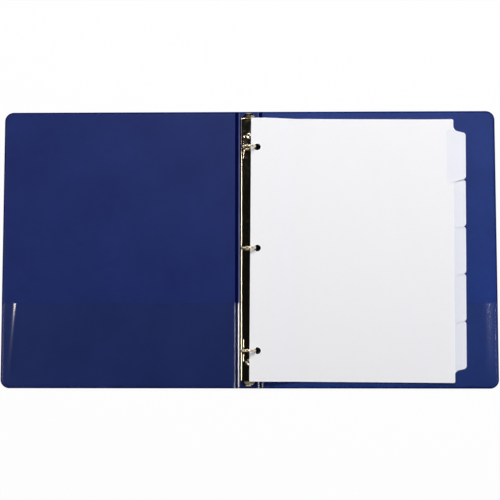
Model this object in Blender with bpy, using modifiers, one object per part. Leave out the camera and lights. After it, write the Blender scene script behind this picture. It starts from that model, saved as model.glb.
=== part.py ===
# A ring binder lying open on a table, with a set of tabbed dividers on its rings.
# X runs across the spine towards the back cover, Y towards the binder's top edge, Z up.
# The origin is under the middle of the spine, on the table. All sizes are in metres.

import math

import bmesh
import bpy
from mathutils import Matrix, Vector

# Case: two vinyl skins welded round three boards
CASE_HEIGHT = 0.2953
COVER_WIDTH = 0.2484
SPINE_WIDTH = 0.0218
HINGE_WIDTH = 0.0036
CORNER_RADIUS = 0.0095
VINYL = 0.0003
BOARD = 0.0018
BOARD_SLACK = 0.0001
BOARD_EDGE_SLACK = 0.0002
WELD_FLANGE = 0.0014
WELD_RAMP = 0.0011
STRIP_CLEARANCE = 0.0001

# Clear pockets welded inside both covers
POCKET_HEIGHT = 0.0898
POCKET_FILM = 0.0002
POCKET_SLACK = 0.0001

# Housing of the ring metal, a pressed sheet with curled lips
HOUSING_LENGTH = 0.278
HOUSING_WIDTH = 0.0162
HOUSING_HEIGHT = 0.0051
HOUSING_SHEET = 0.0008
HOUSING_SEAT = 0.0001
WALL_HEIGHT = 0.0017
ARCH_POWER = 3.0
LIP_DEPTH = 0.0014
LIP_HEIGHT = 0.0018

# Hinge plates that carry the half rings
PLATE = 0.0008
PLATE_CLEARANCE = 0.0003
PLATE_PIVOT_INSET = 0.0006
PLATE_EDGE = 0.00015
PLATE_MIDDLE_GAP = 0.0003
PLATE_END_INSET = 0.0058
PLATE_TILT = math.radians(6)

# Rings of round wire, each in two halves
RING_NAMES = ("top", "middle", "bottom")
RING_PITCH = 0.10795
RING_RADIUS = 0.0075
RING_WIRE = 0.0024
RING_TIP_GAP = 0.0001
STEM_X = 0.0057
STEM_RISE = 0.0015
STEM_SEAT = 0.00012
TENON = 0.0016
TENON_TAIL = 0.0005
TENON_CLEARANCE = 0.00015
SLOT_CLEARANCE = 0.00035

# Rivets that hold the housing to the spine
RIVET_INSET = 0.0187
RIVET_POST = 0.006
RIVET_SHANK = 0.0044
RIVET_NECK = 0.0038
RIVET_BORE = 0.0028
RIVET_BORE_DEPTH = 0.0015
RIVET_HEAD = 0.0062
RIVET_HEAD_RISE = 0.00055
RIVET_FOOT = 0.008
RIVET_FOOT_RECESS = 0.00005
RIVET_CLEARANCE = 0.0002
RIVET_SEAT = 0.0001
RIVET_PLATE_CLEARANCE = 0.0008

# Boosters, the levers at both ends that open the rings
BOOSTER = 0.0008
BOOSTER_PIVOT_INSET = 0.0025
BOOSTER_SIDE_CLEARANCE = 0.0004
BOOSTER_END_CLEARANCE = 0.0004
TONGUE_WIDTH = 0.0036
TONGUE_OVERLAP = 0.0022
TONGUE_CLEARANCE = 0.00013
TONGUE_NECK = 0.0007
TONGUE_RAMP = 0.0016
THUMB_LENGTH = 0.005
THUMB_TIP_WIDTH = 0.0068
THUMB_STEP = 0.0004
THUMB_RISE = 0.003
THUMB_CORNER = 0.0012
TRUNNION = 0.001
TRUNNION_CLEARANCE = 0.0002
TRUNNION_END_INSET = 0.0002

# Tabbed dividers, from the top sheet down
DIVIDER_COUNT = 5
SHEET_WIDTH = 0.2159
SHEET_HEIGHT = 0.2794
DIVIDER = 0.00025
DIVIDER_GAP = 0.0001
DIVIDER_SKEW = math.radians(-0.4)
DIVIDER_SLIP = 0.0003
TAB_DEPTH = 0.0127
TAB_MARGIN = 0.0146
TAB_GAP = 0.0012
TAB_RUN = 0.0032
TAB_CORNER = 0.0025
HOLE = 0.0071
HOLE_INSET = 0.0075
HOLE_PLAY = 0.0005
STACK_DEPTH = 0.0019
DRAPE_START = 0.0135
DRAPE_LENGTH = 0.042
REST_GAP = 0.0001

# How finely round shapes are divided
CORNER_STEPS = 8
ARCH_STEPS = 9
CURL_STEPS = 6
RING_STEPS = 18
WIRE_BEVEL = 3
HOLE_SIDES = 24
RIM_STEPS = 6
TURN_STEPS = 24
DRAPE_STEPS = 12
CUT_MARGIN = 0.002
MERGE = 1e-6
SHARP_ANGLE = math.radians(35)

# Colour, roughness and metallic value of each finish
LOOKS = {
    "navy_vinyl": ((0.019, 0.032, 0.140), 0.42, 0.0),
    "clear_film": ((0.016, 0.026, 0.105), 0.14, 0.0),
    "greyboard": ((0.36, 0.33, 0.28), 0.90, 0.0),
    "nickel_plate": ((0.74, 0.72, 0.67), 0.15, 1.0),
    "index_paper": ((0.90, 0.90, 0.91), 0.75, 0.0),
}

# Heights and places that follow from the sizes above
panel_top = 2 * VINYL + 2 * BOARD_SLACK + BOARD
panel_mid = panel_top / 2
hinge_x = SPINE_WIDTH / 2 + HINGE_WIDTH / 2
cover_in = SPINE_WIDTH / 2 + HINGE_WIDTH
cover_out = cover_in + COVER_WIDTH
case_half = CASE_HEIGHT / 2
flange_rise = panel_top - VINYL - panel_mid - BOARD_SLACK / 2

housing_base = panel_top + HOUSING_SEAT
housing_top = housing_base + HOUSING_HEIGHT
housing_end = HOUSING_LENGTH / 2
wall_x = (HOUSING_WIDTH - HOUSING_SHEET) / 2
lip_x = wall_x - LIP_DEPTH
lip_top = housing_base + LIP_HEIGHT

pivot_x = HOUSING_WIDTH / 2 - HOUSING_SHEET - PLATE_PIVOT_INSET
pivot_z = lip_top + PLATE_CLEARANCE + PLATE / 2
plate_end = housing_end - PLATE_END_INSET

ring_end_angle = math.acos(STEM_X / RING_RADIUS)
stem_top_z = pivot_z + STEM_RISE
ring_z = stem_top_z + RING_RADIUS * math.sin(ring_end_angle)
stem_length = (STEM_RISE + (pivot_x - STEM_X) * math.tan(PLATE_TILT) - PLATE / 2 / math.cos(PLATE_TILT)) / (
    math.cos(ring_end_angle) - math.sin(ring_end_angle) * math.tan(PLATE_TILT)
)
foot_x = STEM_X - stem_length * math.sin(ring_end_angle)
foot_z = stem_top_z - stem_length * math.cos(ring_end_angle)
ring_places = {name: RING_PITCH * (1 - index) for index, name in enumerate(RING_NAMES)}

booster_pivot = housing_end - BOOSTER_PIVOT_INSET
plate_middle_z = pivot_z - pivot_x * math.tan(PLATE_TILT) - PLATE / 2 / math.cos(PLATE_TILT)
tongue_z = plate_middle_z - TONGUE_CLEARANCE - BOOSTER / 2

hole_x = RING_RADIUS - RING_WIRE / 2 - HOLE_PLAY + HOLE / 2
sheet_x = hole_x - HOLE_INSET
divider_pitch = DIVIDER + DIVIDER_GAP
cover_rest_z = panel_top + POCKET_SLACK + POCKET_FILM + REST_GAP
ring_rest_z = ring_z - STACK_DEPTH


# A clean scene, with one collection for the parts and one for the cutters
for old in list(bpy.data.objects):
    bpy.data.objects.remove(old, do_unlink=True)
parts = bpy.data.collections.new("ring_binder")
cutters = bpy.data.collections.new("cutters")
bpy.context.scene.collection.children.link(parts)
bpy.context.scene.collection.children.link(cutters)


# Small tools shared by the sub-parts
def rounded(corners, steps=CORNER_STEPS):
    """Points of a closed outline whose corners (x, y, radius) are rounded by arcs."""
    points = []
    for index, (x, y, radius) in enumerate(corners):
        here = Vector((x, y))
        if radius == 0:
            points.append(here)
            continue
        back = (Vector(corners[index - 1][:2]) - here).normalized()
        ahead = (Vector(corners[(index + 1) % len(corners)][:2]) - here).normalized()
        half = back.angle(ahead) / 2
        centre = here + (back + ahead).normalized() * radius / math.sin(half)
        first = here + back * radius / math.tan(half) - centre
        last = here + ahead * radius / math.tan(half) - centre
        start = math.atan2(first.y, first.x)
        sweep = math.remainder(math.atan2(last.y, last.x) - start, math.tau)
        for step in range(steps + 1):
            angle = start + sweep * step / steps
            points.append(centre + radius * Vector((math.cos(angle), math.sin(angle))))
    return points


def flat_face(points, z):
    """A bmesh that holds one flat face at height z."""
    shape = bmesh.new()
    face = shape.faces.new([shape.verts.new((x, y, z)) for x, y in points])
    face.normal_update()
    return shape


def thicken(shape, height):
    """Closes a sheet into a solid by extruding it straight up, or down for a negative height."""
    made = bmesh.ops.extrude_face_region(shape, geom=shape.faces[:])
    moved = [item for item in made["geom"] if isinstance(item, bmesh.types.BMVert)]
    bmesh.ops.translate(shape, vec=(0, 0, height), verts=moved)
    bmesh.ops.recalc_face_normals(shape, faces=shape.faces[:])


def slice_along(shape, axis, places):
    """Cuts the faces of a sheet along lines that stand across X (axis 0) or Y (axis 1)."""
    normal = Vector((0, 0, 0))
    normal[axis] = 1
    for place in places:
        geometry = shape.verts[:] + shape.edges[:] + shape.faces[:]
        bmesh.ops.bisect_plane(shape, geom=geometry, dist=MERGE, plane_co=normal * place, plane_no=normal)


def between(value, table):
    """The values beside this one in a table of rows, read along straight lines."""
    for low, high in zip(table, table[1:]):
        if value <= high[0]:
            break
    share = (value - low[0]) / (high[0] - low[0])
    return [a + (b - a) * share for a, b in zip(low[1:], high[1:])]


def to_object(shape, name, collection):
    mesh = bpy.data.meshes.new(name)
    shape.to_mesh(mesh)
    shape.free()
    made = bpy.data.objects.new(name, mesh)
    collection.objects.link(made)
    return made


def part(shape, name, look, pivot=None):
    """Makes a bmesh into a finished part. A moving part gets its origin on its pivot."""
    made = to_object(shape, name, parts)
    colour, roughness, metallic = LOOKS[look]
    material = bpy.data.materials.new(f"{name}_{look}")
    material.use_nodes = True
    shader = material.node_tree.nodes["Principled BSDF"]
    shader.inputs["Base Color"].default_value = (*colour, 1)
    shader.inputs["Roughness"].default_value = roughness
    shader.inputs["Metallic"].default_value = metallic
    made.data.materials.append(material)
    if pivot:
        made.data.transform(Matrix.Translation(-pivot.location))
        made.parent = pivot
    return made


def cutter(shape, name):
    made = to_object(shape, name, cutters)
    made.hide_render = True
    made.display_type = "WIRE"
    return made


def combine(target, tool, operation="DIFFERENCE"):
    change = target.modifiers.new(tool.name, "BOOLEAN")
    change.operation = operation
    change.object = tool
    change.solver = "EXACT"


def pivot_at(name, place):
    """An empty on a joint's axis."""
    empty = bpy.data.objects.new(name, None)
    empty.empty_display_size = RING_RADIUS
    empty.location = place
    parts.objects.link(empty)
    return empty


def round_bars(name, diameter, places, low, high, axis="Z"):
    """A cutter of round bars along Z at (x, y) places, or along X at (y, z) places."""
    shape = bmesh.new()
    middle = (low + high) / 2
    for first, second in places:
        if axis == "Z":
            seat = Matrix.Translation((first, second, middle))
        else:
            seat = Matrix.Translation((middle, first, second)) @ Matrix.Rotation(math.pi / 2, 4, "Y")
        bmesh.ops.create_cone(
            shape,
            cap_ends=True,
            segments=HOLE_SIDES,
            radius1=diameter / 2,
            radius2=diameter / 2,
            depth=high - low,
            matrix=seat,
        )
    return cutter(shape, name)


# Case. Side is -1 for the front cover, 0 for the spine and 1 for the back cover.
def panel_outline(side):
    """A panel's outline, drawn a weld flange past its hinges, where the hinge strip is the weld."""
    if side == 0:
        x = SPINE_WIDTH / 2 + WELD_FLANGE
        return rounded([(-x, -case_half, 0), (x, -case_half, 0), (x, case_half, 0), (-x, case_half, 0)])
    near = side * (cover_in - WELD_FLANGE)
    far = side * cover_out
    return rounded(
        [
            (near, -case_half, 0),
            (far, -case_half, CORNER_RADIUS),
            (far, case_half, CORNER_RADIUS),
            (near, case_half, 0),
        ]
    )


def trim(shape, place, outward):
    """Cuts off what lies outside a plane."""
    geometry = shape.verts[:] + shape.edges[:] + shape.faces[:]
    bmesh.ops.bisect_plane(
        shape, geom=geometry, dist=MERGE, plane_co=place, plane_no=outward, clear_outer=True
    )


def let_in(shape, middle, distance):
    """Lets a flat face in from its rim, and gives the faces of the new rim."""
    made = bmesh.ops.inset_region(
        shape, faces=middle, thickness=distance, use_even_offset=True, use_boundary=True
    )
    return made["faces"]


def welded_sheet(side, flange_z, rise):
    """A sheet with a weld flange, stepped up or down to its flat middle by a ramp, cut off at its hinges."""
    shape = flat_face(panel_outline(side), flange_z)
    middle = shape.faces[:]
    let_in(shape, middle, WELD_FLANGE)
    let_in(shape, middle, WELD_RAMP)
    bmesh.ops.translate(shape, vec=(0, 0, rise), verts=list(middle[0].verts))
    if side == 0:
        trim(shape, (SPINE_WIDTH / 2, 0, 0), (1, 0, 0))
        trim(shape, (-SPINE_WIDTH / 2, 0, 0), (-1, 0, 0))
    else:
        trim(shape, (side * cover_in, 0, 0), (-side, 0, 0))
    return shape


def inner_vinyl(name, side, pivot=None):
    shape = welded_sheet(side, panel_mid + BOARD_SLACK / 2, flange_rise)
    thicken(shape, VINYL)
    return part(shape, name, "navy_vinyl", pivot)


def outer_vinyl(name, side, pivot=None):
    shape = welded_sheet(side, panel_mid - BOARD_SLACK / 2, -flange_rise)
    thicken(shape, -VINYL)
    return part(shape, name, "navy_vinyl", pivot)


def board(name, side, pivot=None):
    """A board that fills the flat middle between the two skins."""
    shape = flat_face(panel_outline(side), VINYL + BOARD_SLACK)
    rim = let_in(shape, shape.faces[:], WELD_FLANGE + WELD_RAMP + BOARD_EDGE_SLACK)
    bmesh.ops.delete(shape, geom=rim, context="FACES")
    thicken(shape, BOARD)
    return part(shape, name, "greyboard", pivot)


def pocket(name, side, pivot):
    """A clear film over the lower part of a cover, welded along three edges and open at its top."""
    shape = welded_sheet(side, panel_mid + BOARD_SLACK / 2 + VINYL + POCKET_SLACK, flange_rise)
    trim(shape, (0, POCKET_HEIGHT - case_half, 0), (0, 1, 0))
    thicken(shape, POCKET_FILM)
    return part(shape, name, "clear_film", pivot)


def hinge_strip(name, side):
    """The fused vinyl between the spine and a cover, where the case bends."""
    near = side * (SPINE_WIDTH / 2 + STRIP_CLEARANCE)
    far = side * (cover_in - STRIP_CLEARANCE)
    corners = [(near, -case_half, 0), (far, -case_half, 0), (far, case_half, 0), (near, case_half, 0)]
    shape = flat_face(rounded(corners), panel_mid - VINYL - BOARD_SLACK / 2)
    thicken(shape, 2 * VINYL + BOARD_SLACK)
    return part(shape, name, "navy_vinyl")


# Ring metal
def housing():
    """The arched housing: one profile from lip to lip, run along the spine, with its sheet's thickness."""
    spring = housing_base + WALL_HEIGHT
    rise = housing_top - HOUSING_SHEET / 2 - spring
    half = []
    for step in range(ARCH_STEPS + 1):
        angle = math.pi / 2 * step / ARCH_STEPS
        across = wall_x * math.sin(angle) ** (2 / ARCH_POWER)
        half.append((across, spring + rise * abs(math.cos(angle)) ** (2 / ARCH_POWER)))
    curl = LIP_DEPTH / 2
    for step in range(CURL_STEPS + 1):
        angle = math.pi * step / CURL_STEPS
        depth = curl * math.sin(angle)
        half.append((lip_x + curl + curl * math.cos(angle), housing_base + HOUSING_SHEET / 2 + curl - depth))
    half.append((lip_x, lip_top))
    profile = [(-x, z) for x, z in reversed(half[1:])] + half
    shape = bmesh.new()
    row = [shape.verts.new((x, -housing_end, z)) for x, z in profile]
    edges = [shape.edges.new(pair) for pair in zip(row, row[1:])]
    swept = bmesh.ops.extrude_edge_only(shape, edges=edges)
    moved = [item for item in swept["geom"] if isinstance(item, bmesh.types.BMVert)]
    bmesh.ops.translate(shape, vec=(0, HOUSING_LENGTH, 0), verts=moved)
    made = part(shape, "ring_housing", "nickel_plate")
    sheet = made.modifiers.new("sheet", "SOLIDIFY")
    sheet.thickness = HOUSING_SHEET
    sheet.offset = 0
    sheet.use_even_offset = True
    return made


def ring_slots():
    """A cutter for the slots in the housing's shoulders where the half rings come out."""
    shape = bmesh.new()
    near = foot_x - RING_WIRE / 2 - SLOT_CLEARANCE
    far = HOUSING_WIDTH / 2 + CUT_MARGIN
    low = pivot_z + PLATE / 2
    high = housing_top + CUT_MARGIN
    size = Matrix.Diagonal((far - near, RING_WIRE + 2 * SLOT_CLEARANCE, high - low, 1))
    for y in ring_places.values():
        for side in (-1, 1):
            seat = Matrix.Translation((side * (near + far) / 2, y, (low + high) / 2))
            bmesh.ops.create_cube(shape, size=1, matrix=seat @ size)
    return cutter(shape, "ring_slots")


def hinge_plate(name, side, pivot):
    """A flat plate that rocks on its outer edge, with the middle edge low while the rings are shut."""
    inner = side * (PLATE_MIDDLE_GAP / 2 - pivot_x)
    outer = side * PLATE_EDGE
    corners = [(inner, -plate_end, 0), (outer, -plate_end, 0), (outer, plate_end, 0), (inner, plate_end, 0)]
    shape = flat_face(rounded(corners), -PLATE / 2)
    thicken(shape, PLATE)
    made = part(shape, name, "nickel_plate")
    made.parent = pivot
    made.rotation_euler.y = -side * PLATE_TILT
    return made


def ring_half(name, side, y, pivot):
    """Half a ring: round wire from the tip down to a stem that is cut along its plate, with a tenon."""
    tip = math.pi / 2 + RING_WIRE / RING_RADIUS
    path = []
    for step in range(RING_STEPS + 1):
        angle = tip + (-ring_end_angle - tip) * step / RING_STEPS
        path.append((RING_RADIUS * math.cos(angle), ring_z + RING_RADIUS * math.sin(angle)))
    reach = stem_length + RING_WIRE
    path.append((STEM_X - reach * math.sin(ring_end_angle), stem_top_z - reach * math.cos(ring_end_angle)))
    curve = bpy.data.curves.new(name, "CURVE")
    curve.dimensions = "3D"
    curve.bevel_depth = RING_WIRE / 2
    curve.bevel_resolution = WIRE_BEVEL
    curve.use_fill_caps = True
    spline = curve.splines.new("POLY")
    spline.points.add(len(path) - 1)
    for point, (x, z) in zip(spline.points, path):
        point.co = (side * x, y, z, 1)
    wire = bpy.data.objects.new(name, curve)
    parts.objects.link(wire)
    graph = bpy.context.evaluated_depsgraph_get()
    mesh = bpy.data.meshes.new_from_object(wire.evaluated_get(graph))
    bpy.data.objects.remove(wire, do_unlink=True)
    shape = bmesh.new()
    shape.from_mesh(mesh)
    bpy.data.meshes.remove(mesh)
    bmesh.ops.remove_doubles(shape, verts=shape.verts[:], dist=MERGE)
    plate_normal = Vector((-side * math.sin(PLATE_TILT), 0, math.cos(PLATE_TILT)))
    seat = Vector((side * foot_x, y, foot_z)) + plate_normal * STEM_SEAT
    tip_normal = Vector((side, 0, 0))
    for place, normal in ((seat, plate_normal), (tip_normal * RING_TIP_GAP / 2, tip_normal)):
        geometry = shape.verts[:] + shape.edges[:] + shape.faces[:]
        bmesh.ops.bisect_plane(shape, geom=geometry, plane_co=place, plane_no=normal, clear_inner=True)
    bmesh.ops.holes_fill(shape, edges=[edge for edge in shape.edges if edge.is_boundary])
    bmesh.ops.recalc_face_normals(shape, faces=shape.faces[:])
    made = part(shape, name, "nickel_plate", pivot)
    low = foot_z - PLATE / math.cos(PLATE_TILT) - TENON_TAIL
    high = foot_z + TENON / 2
    combine(made, round_bars(f"{name}_tenon", TENON, [(side * foot_x, y)], low, high), "UNION")
    return made


def rivet(name, y):
    """A turned rivet: foot in the spine's outer skin, post under the housing, rolled rim on top."""
    rim_z = housing_top + RIVET_SEAT
    rim_mid = (RIVET_HEAD + RIVET_BORE) / 4
    rim_half = (RIVET_HEAD - RIVET_BORE) / 4
    bore_floor = rim_z - RIVET_BORE_DEPTH
    profile = [(0, bore_floor), (RIVET_BORE / 2, bore_floor)]
    for step in range(RIM_STEPS + 1):
        angle = math.pi * step / RIM_STEPS
        profile.append((rim_mid - rim_half * math.cos(angle), rim_z + RIVET_HEAD_RISE * math.sin(angle)))
    post_top = housing_top - HOUSING_SHEET - RIVET_SEAT
    post_low = panel_top + RIVET_SEAT
    foot_top = VINYL + RIVET_FOOT_RECESS
    profile += [(RIVET_NECK / 2, rim_z), (RIVET_NECK / 2, post_top)]
    profile += [(RIVET_POST / 2, post_top), (RIVET_POST / 2, post_low)]
    profile += [(RIVET_SHANK / 2, post_low), (RIVET_SHANK / 2, foot_top)]
    profile += [(RIVET_FOOT / 2, foot_top), (RIVET_FOOT / 2, RIVET_FOOT_RECESS), (0, RIVET_FOOT_RECESS)]
    shape = bmesh.new()
    row = [shape.verts.new((r, 0, z)) for r, z in profile]
    for pair in zip(row, row[1:]):
        shape.edges.new(pair)
    made = part(shape, name, "nickel_plate")
    made.location.y = y
    turn = made.modifiers.new("turn", "SCREW")
    turn.steps = TURN_STEPS
    turn.render_steps = TURN_STEPS
    turn.use_merge_vertices = True
    turn.merge_threshold = MERGE
    return made


def booster(name, end, pivot):
    """A pressed lever: tongue under the hinge plates, trunnion in the housing's walls, thumb tab outside."""
    tongue = TONGUE_WIDTH / 2
    body = lip_x - HOUSING_SHEET / 2 - BOOSTER_SIDE_CLEARANCE
    tab = HOUSING_WIDTH / 2
    tip = THUMB_TIP_WIDTH / 2
    tongue_end = plate_end - TONGUE_OVERLAP
    body_start = plate_end + TONGUE_NECK
    tab_start = housing_end + BOOSTER_END_CLEARANCE
    tab_end = tab_start + THUMB_LENGTH
    half = [
        (tongue, tongue_end, 0),
        (tongue, body_start, 0),
        (body, body_start, 0),
        (body, tab_start, 0),
        (tab, tab_start, 0),
        (tip, tab_end, THUMB_CORNER),
    ]
    corners = half + [(-x, y, radius) for x, y, radius in reversed(half)]
    heights = [
        (tongue_end, tongue_z),
        (body_start, tongue_z),
        (body_start + TONGUE_RAMP, pivot_z),
        (booster_pivot, pivot_z),
        (tab_start, pivot_z + THUMB_STEP),
        (tab_end, pivot_z + THUMB_STEP + THUMB_RISE),
    ]
    shape = flat_face([(x, end * y) for x, y in rounded(corners)], 0)
    slice_along(shape, 1, [end * y for y, _ in heights[1:-1]])
    for vert in shape.verts:
        vert.co.z = between(end * vert.co.y, heights)[0]
    bmesh.ops.recalc_face_normals(shape, faces=shape.faces[:])
    made = part(shape, name, "nickel_plate", pivot)
    sheet = made.modifiers.new("sheet", "SOLIDIFY")
    sheet.thickness = BOOSTER
    sheet.offset = 0
    sheet.use_even_offset = True
    reach = HOUSING_WIDTH / 2 - TRUNNION_END_INSET
    pin = round_bars(f"{name}_trunnion", TRUNNION, [(end * booster_pivot, pivot_z)], -reach, reach, "X")
    combine(made, pin, "UNION")
    return made


# Dividers
def drape():
    """Rows of (length along the sheet, x, drop): the sheet runs off the rings and settles on the cover."""
    drop = ring_rest_z - cover_rest_z
    rows = [(0, sheet_x, 0), (DRAPE_START, sheet_x + DRAPE_START, 0)]
    for step in range(1, DRAPE_STEPS + 1):
        share = step / DRAPE_STEPS
        fall = drop * share * share * (3 - 2 * share)
        run = math.sqrt((DRAPE_LENGTH / DRAPE_STEPS) ** 2 - (fall - rows[-1][2]) ** 2)
        rows.append((DRAPE_START + DRAPE_LENGTH * share, rows[-1][1] + run, fall))
    length = SHEET_WIDTH + TAB_DEPTH
    rows.append((length, rows[-1][1] + length - rows[-1][0], drop))
    return rows


def divider_outline(index):
    """The flat sheet from its punched edge, with its tab at its own place on the far edge."""
    half = SHEET_HEIGHT / 2
    tab_pitch = (SHEET_HEIGHT - 2 * TAB_MARGIN) / DIVIDER_COUNT
    middle = half - TAB_MARGIN - (index + 0.5) * tab_pitch
    edge = (tab_pitch - TAB_GAP) / 2
    base = edge + TAB_RUN
    far = SHEET_WIDTH + TAB_DEPTH
    return rounded(
        [
            (0, -half, 0),
            (SHEET_WIDTH, -half, 0),
            (SHEET_WIDTH, middle - base, TAB_CORNER),
            (far, middle - edge, TAB_CORNER),
            (far, middle + edge, TAB_CORNER),
            (SHEET_WIDTH, middle + base, TAB_CORNER),
            (SHEET_WIDTH, half, 0),
            (0, half, 0),
        ]
    )


def divider(index, pivot, holes):
    """A sheet draped off the rings, lying a little askew and slipped towards the bottom edge."""
    shape = flat_face(divider_outline(index), 0)
    rows = drape()
    slice_along(shape, 0, [row[0] for row in rows[1:-1]])
    lift = ring_rest_z + (DIVIDER_COUNT - 1 - index) * divider_pitch
    for vert in shape.verts:
        x, drop = between(vert.co.x, rows)
        vert.co.x = x
        vert.co.z = lift - drop
    thicken(shape, DIVIDER)
    made = part(shape, f"divider_{index + 1}", "index_paper", pivot)
    made.rotation_euler.z = DIVIDER_SKEW
    made.location.y = -DIVIDER_SLIP
    combine(made, holes)
    return made


# The case, with each cover on the axis of its hinge
front_hinge = pivot_at("front_hinge_axis", (-hinge_x, 0, panel_mid))
back_hinge = pivot_at("back_hinge_axis", (hinge_x, 0, panel_mid))
board("front_board", -1, front_hinge)
outer_vinyl("front_outer_vinyl", -1, front_hinge)
inner_vinyl("front_inner_vinyl", -1, front_hinge)
pocket("front_pocket", -1, front_hinge)
board("back_board", 1, back_hinge)
outer_vinyl("back_outer_vinyl", 1, back_hinge)
inner_vinyl("back_inner_vinyl", 1, back_hinge)
pocket("back_pocket", 1, back_hinge)
hinge_strip("front_hinge_strip", -1)
hinge_strip("back_hinge_strip", 1)

rivet_places = {"top": housing_end - RIVET_INSET, "bottom": RIVET_INSET - housing_end}
rivet_axes = [(0, y) for y in rivet_places.values()]
shank_holes = round_bars(
    "shank_holes", RIVET_SHANK + 2 * RIVET_CLEARANCE, rivet_axes, -CUT_MARGIN, panel_top + CUT_MARGIN
)
foot_holes = round_bars("foot_holes", RIVET_FOOT + 2 * RIVET_CLEARANCE, rivet_axes, -CUT_MARGIN, panel_mid)
combine(board("spine_board", 0), shank_holes)
combine(outer_vinyl("spine_outer_vinyl", 0), foot_holes)
combine(inner_vinyl("spine_inner_vinyl", 0), shank_holes)

# The ring metal, with plates and half rings on the axis where their plate rocks
for name, y in rivet_places.items():
    rivet(f"{name}_rivet", y)
metal = housing()
combine(metal, ring_slots())
neck_holes = round_bars(
    "neck_holes", RIVET_NECK + 2 * RIVET_CLEARANCE, rivet_axes, pivot_z, housing_top + CUT_MARGIN
)
combine(metal, neck_holes)
trunnion_axes = [(end * booster_pivot, pivot_z) for end in (-1, 1)]
wall_reach = HOUSING_WIDTH / 2 + CUT_MARGIN
trunnion_holes = round_bars(
    "trunnion_holes", TRUNNION + 2 * TRUNNION_CLEARANCE, trunnion_axes, -wall_reach, wall_reach, "X"
)
combine(metal, trunnion_holes)

post_notches = round_bars(
    "post_notches", RIVET_POST + 2 * RIVET_PLATE_CLEARANCE, rivet_axes, panel_top, housing_top
)
for side_name, side in (("left", -1), ("right", 1)):
    axis = pivot_at(f"{side_name}_ring_axis", (side * pivot_x, 0, pivot_z))
    plate = hinge_plate(f"{side_name}_hinge_plate", side, axis)
    combine(plate, post_notches)
    tenon_axes = [(side * foot_x, y) for y in ring_places.values()]
    tenon_holes = round_bars(
        f"{side_name}_tenon_holes", TENON + 2 * TENON_CLEARANCE, tenon_axes, panel_top, housing_top
    )
    combine(plate, tenon_holes)
    for ring_name, y in ring_places.items():
        ring_half(f"{side_name}_ring_{ring_name}", side, y, axis)

for end_name, end in (("top", 1), ("bottom", -1)):
    axis = pivot_at(f"{end_name}_booster_axis", (0, end * booster_pivot, pivot_z))
    booster(f"{end_name}_booster", end, axis)

# The dividers, turning about the middle of the rings, with their holes in line with the rings
ring_axis = pivot_at("divider_axis", (0, 0, ring_z))
punched = [(hole_x, y) for y in ring_places.values()]
punched_holes = round_bars("punched_holes", HOLE, punched, housing_top, ring_z + RING_RADIUS)
for number in range(DIVIDER_COUNT):
    divider(number, ring_axis, punched_holes)

# Round pieces are shaded smooth
for made in parts.objects:
    if made.type == "MESH":
        made.data.shade_smooth()
        made.data.set_sharp_from_angle(angle=SHARP_ANGLE)
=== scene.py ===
import math

import bmesh
import bpy
from bmesh.types import BMEdge, BMFace, BMVert
from mathutils import Matrix, Vector


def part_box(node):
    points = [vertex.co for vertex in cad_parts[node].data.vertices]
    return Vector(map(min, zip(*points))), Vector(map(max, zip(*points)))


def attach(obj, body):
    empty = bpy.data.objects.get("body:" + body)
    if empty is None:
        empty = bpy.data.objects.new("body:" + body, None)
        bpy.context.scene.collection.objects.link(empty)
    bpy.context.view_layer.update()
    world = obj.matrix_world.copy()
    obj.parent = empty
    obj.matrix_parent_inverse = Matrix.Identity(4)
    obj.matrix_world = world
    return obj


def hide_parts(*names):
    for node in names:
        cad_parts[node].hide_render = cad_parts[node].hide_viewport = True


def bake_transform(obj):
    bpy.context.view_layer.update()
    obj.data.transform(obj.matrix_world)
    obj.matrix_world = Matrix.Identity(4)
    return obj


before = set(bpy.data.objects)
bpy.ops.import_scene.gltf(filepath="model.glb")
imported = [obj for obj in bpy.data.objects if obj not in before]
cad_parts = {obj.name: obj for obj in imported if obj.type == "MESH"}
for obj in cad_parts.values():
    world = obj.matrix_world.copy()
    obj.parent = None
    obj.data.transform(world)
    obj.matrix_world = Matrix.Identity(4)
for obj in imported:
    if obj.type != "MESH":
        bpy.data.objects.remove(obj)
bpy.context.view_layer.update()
mm = 0.001
snap, cutSnap = 1e-6, 1e-7  # metres within which points count as one, and as lying on a cut
print("frame loaded")


# Small tools

def linear(hexColour):
    # sRGB hex to the linear values that shaders read
    parts = [int(hexColour[place:place + 2], 16) / 255 for place in (1, 3, 5)]
    return (*[part / 12.92 if part <= 0.04045 else ((part + 0.055) / 1.055) ** 2.4 for part in parts], 1)


def fillSockets(tree, node, values=None, links=None):
    for socket, value in (values or {}).items():
        node.inputs[socket].default_value = value
    for socket, source in (links or {}).items():
        tree.links.new(source, node.inputs[socket])


def addNode(tree, kind, settings=None, values=None, links=None):
    node = tree.nodes.new(f"ShaderNode{kind}")
    for name, value in (settings or {}).items():
        setattr(node, name, value)
    fillSockets(tree, node, values, links)
    return node


def newMaterial(name):
    material = bpy.data.materials.new(name)
    material.use_nodes = True
    tree = material.node_tree
    place = addNode(tree, "TexCoord").outputs["Object"]
    return material, tree, tree.nodes["Principled BSDF"], place


def perMm(size):
    # texture scale whose features are this many millimetres across
    return 1 / (size * mm)


def everything(shape):
    return shape.verts[:] + shape.edges[:] + shape.faces[:]


def cutAcross(shape, axis, places, dropBelow=False, dropAbove=False):
    normal = Vector((0, 0, 0))
    normal[axis] = 1
    for place in places:
        bmesh.ops.bisect_plane(
            shape, geom=everything(shape), dist=cutSnap, plane_co=normal * place, plane_no=normal,
            clear_inner=dropBelow, clear_outer=dropAbove,
        )


def flatOutline(shape, points):
    # one flat face through points of (x, y) in metres
    verts = [shape.verts.new((x, y, 0)) for x, y in points]
    shape.faces.new(verts)
    return verts


def openLine(shape, points):
    verts = [shape.verts.new(point) for point in points]
    return verts, [shape.edges.new(pair) for pair in zip(verts, verts[1:])]


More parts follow.
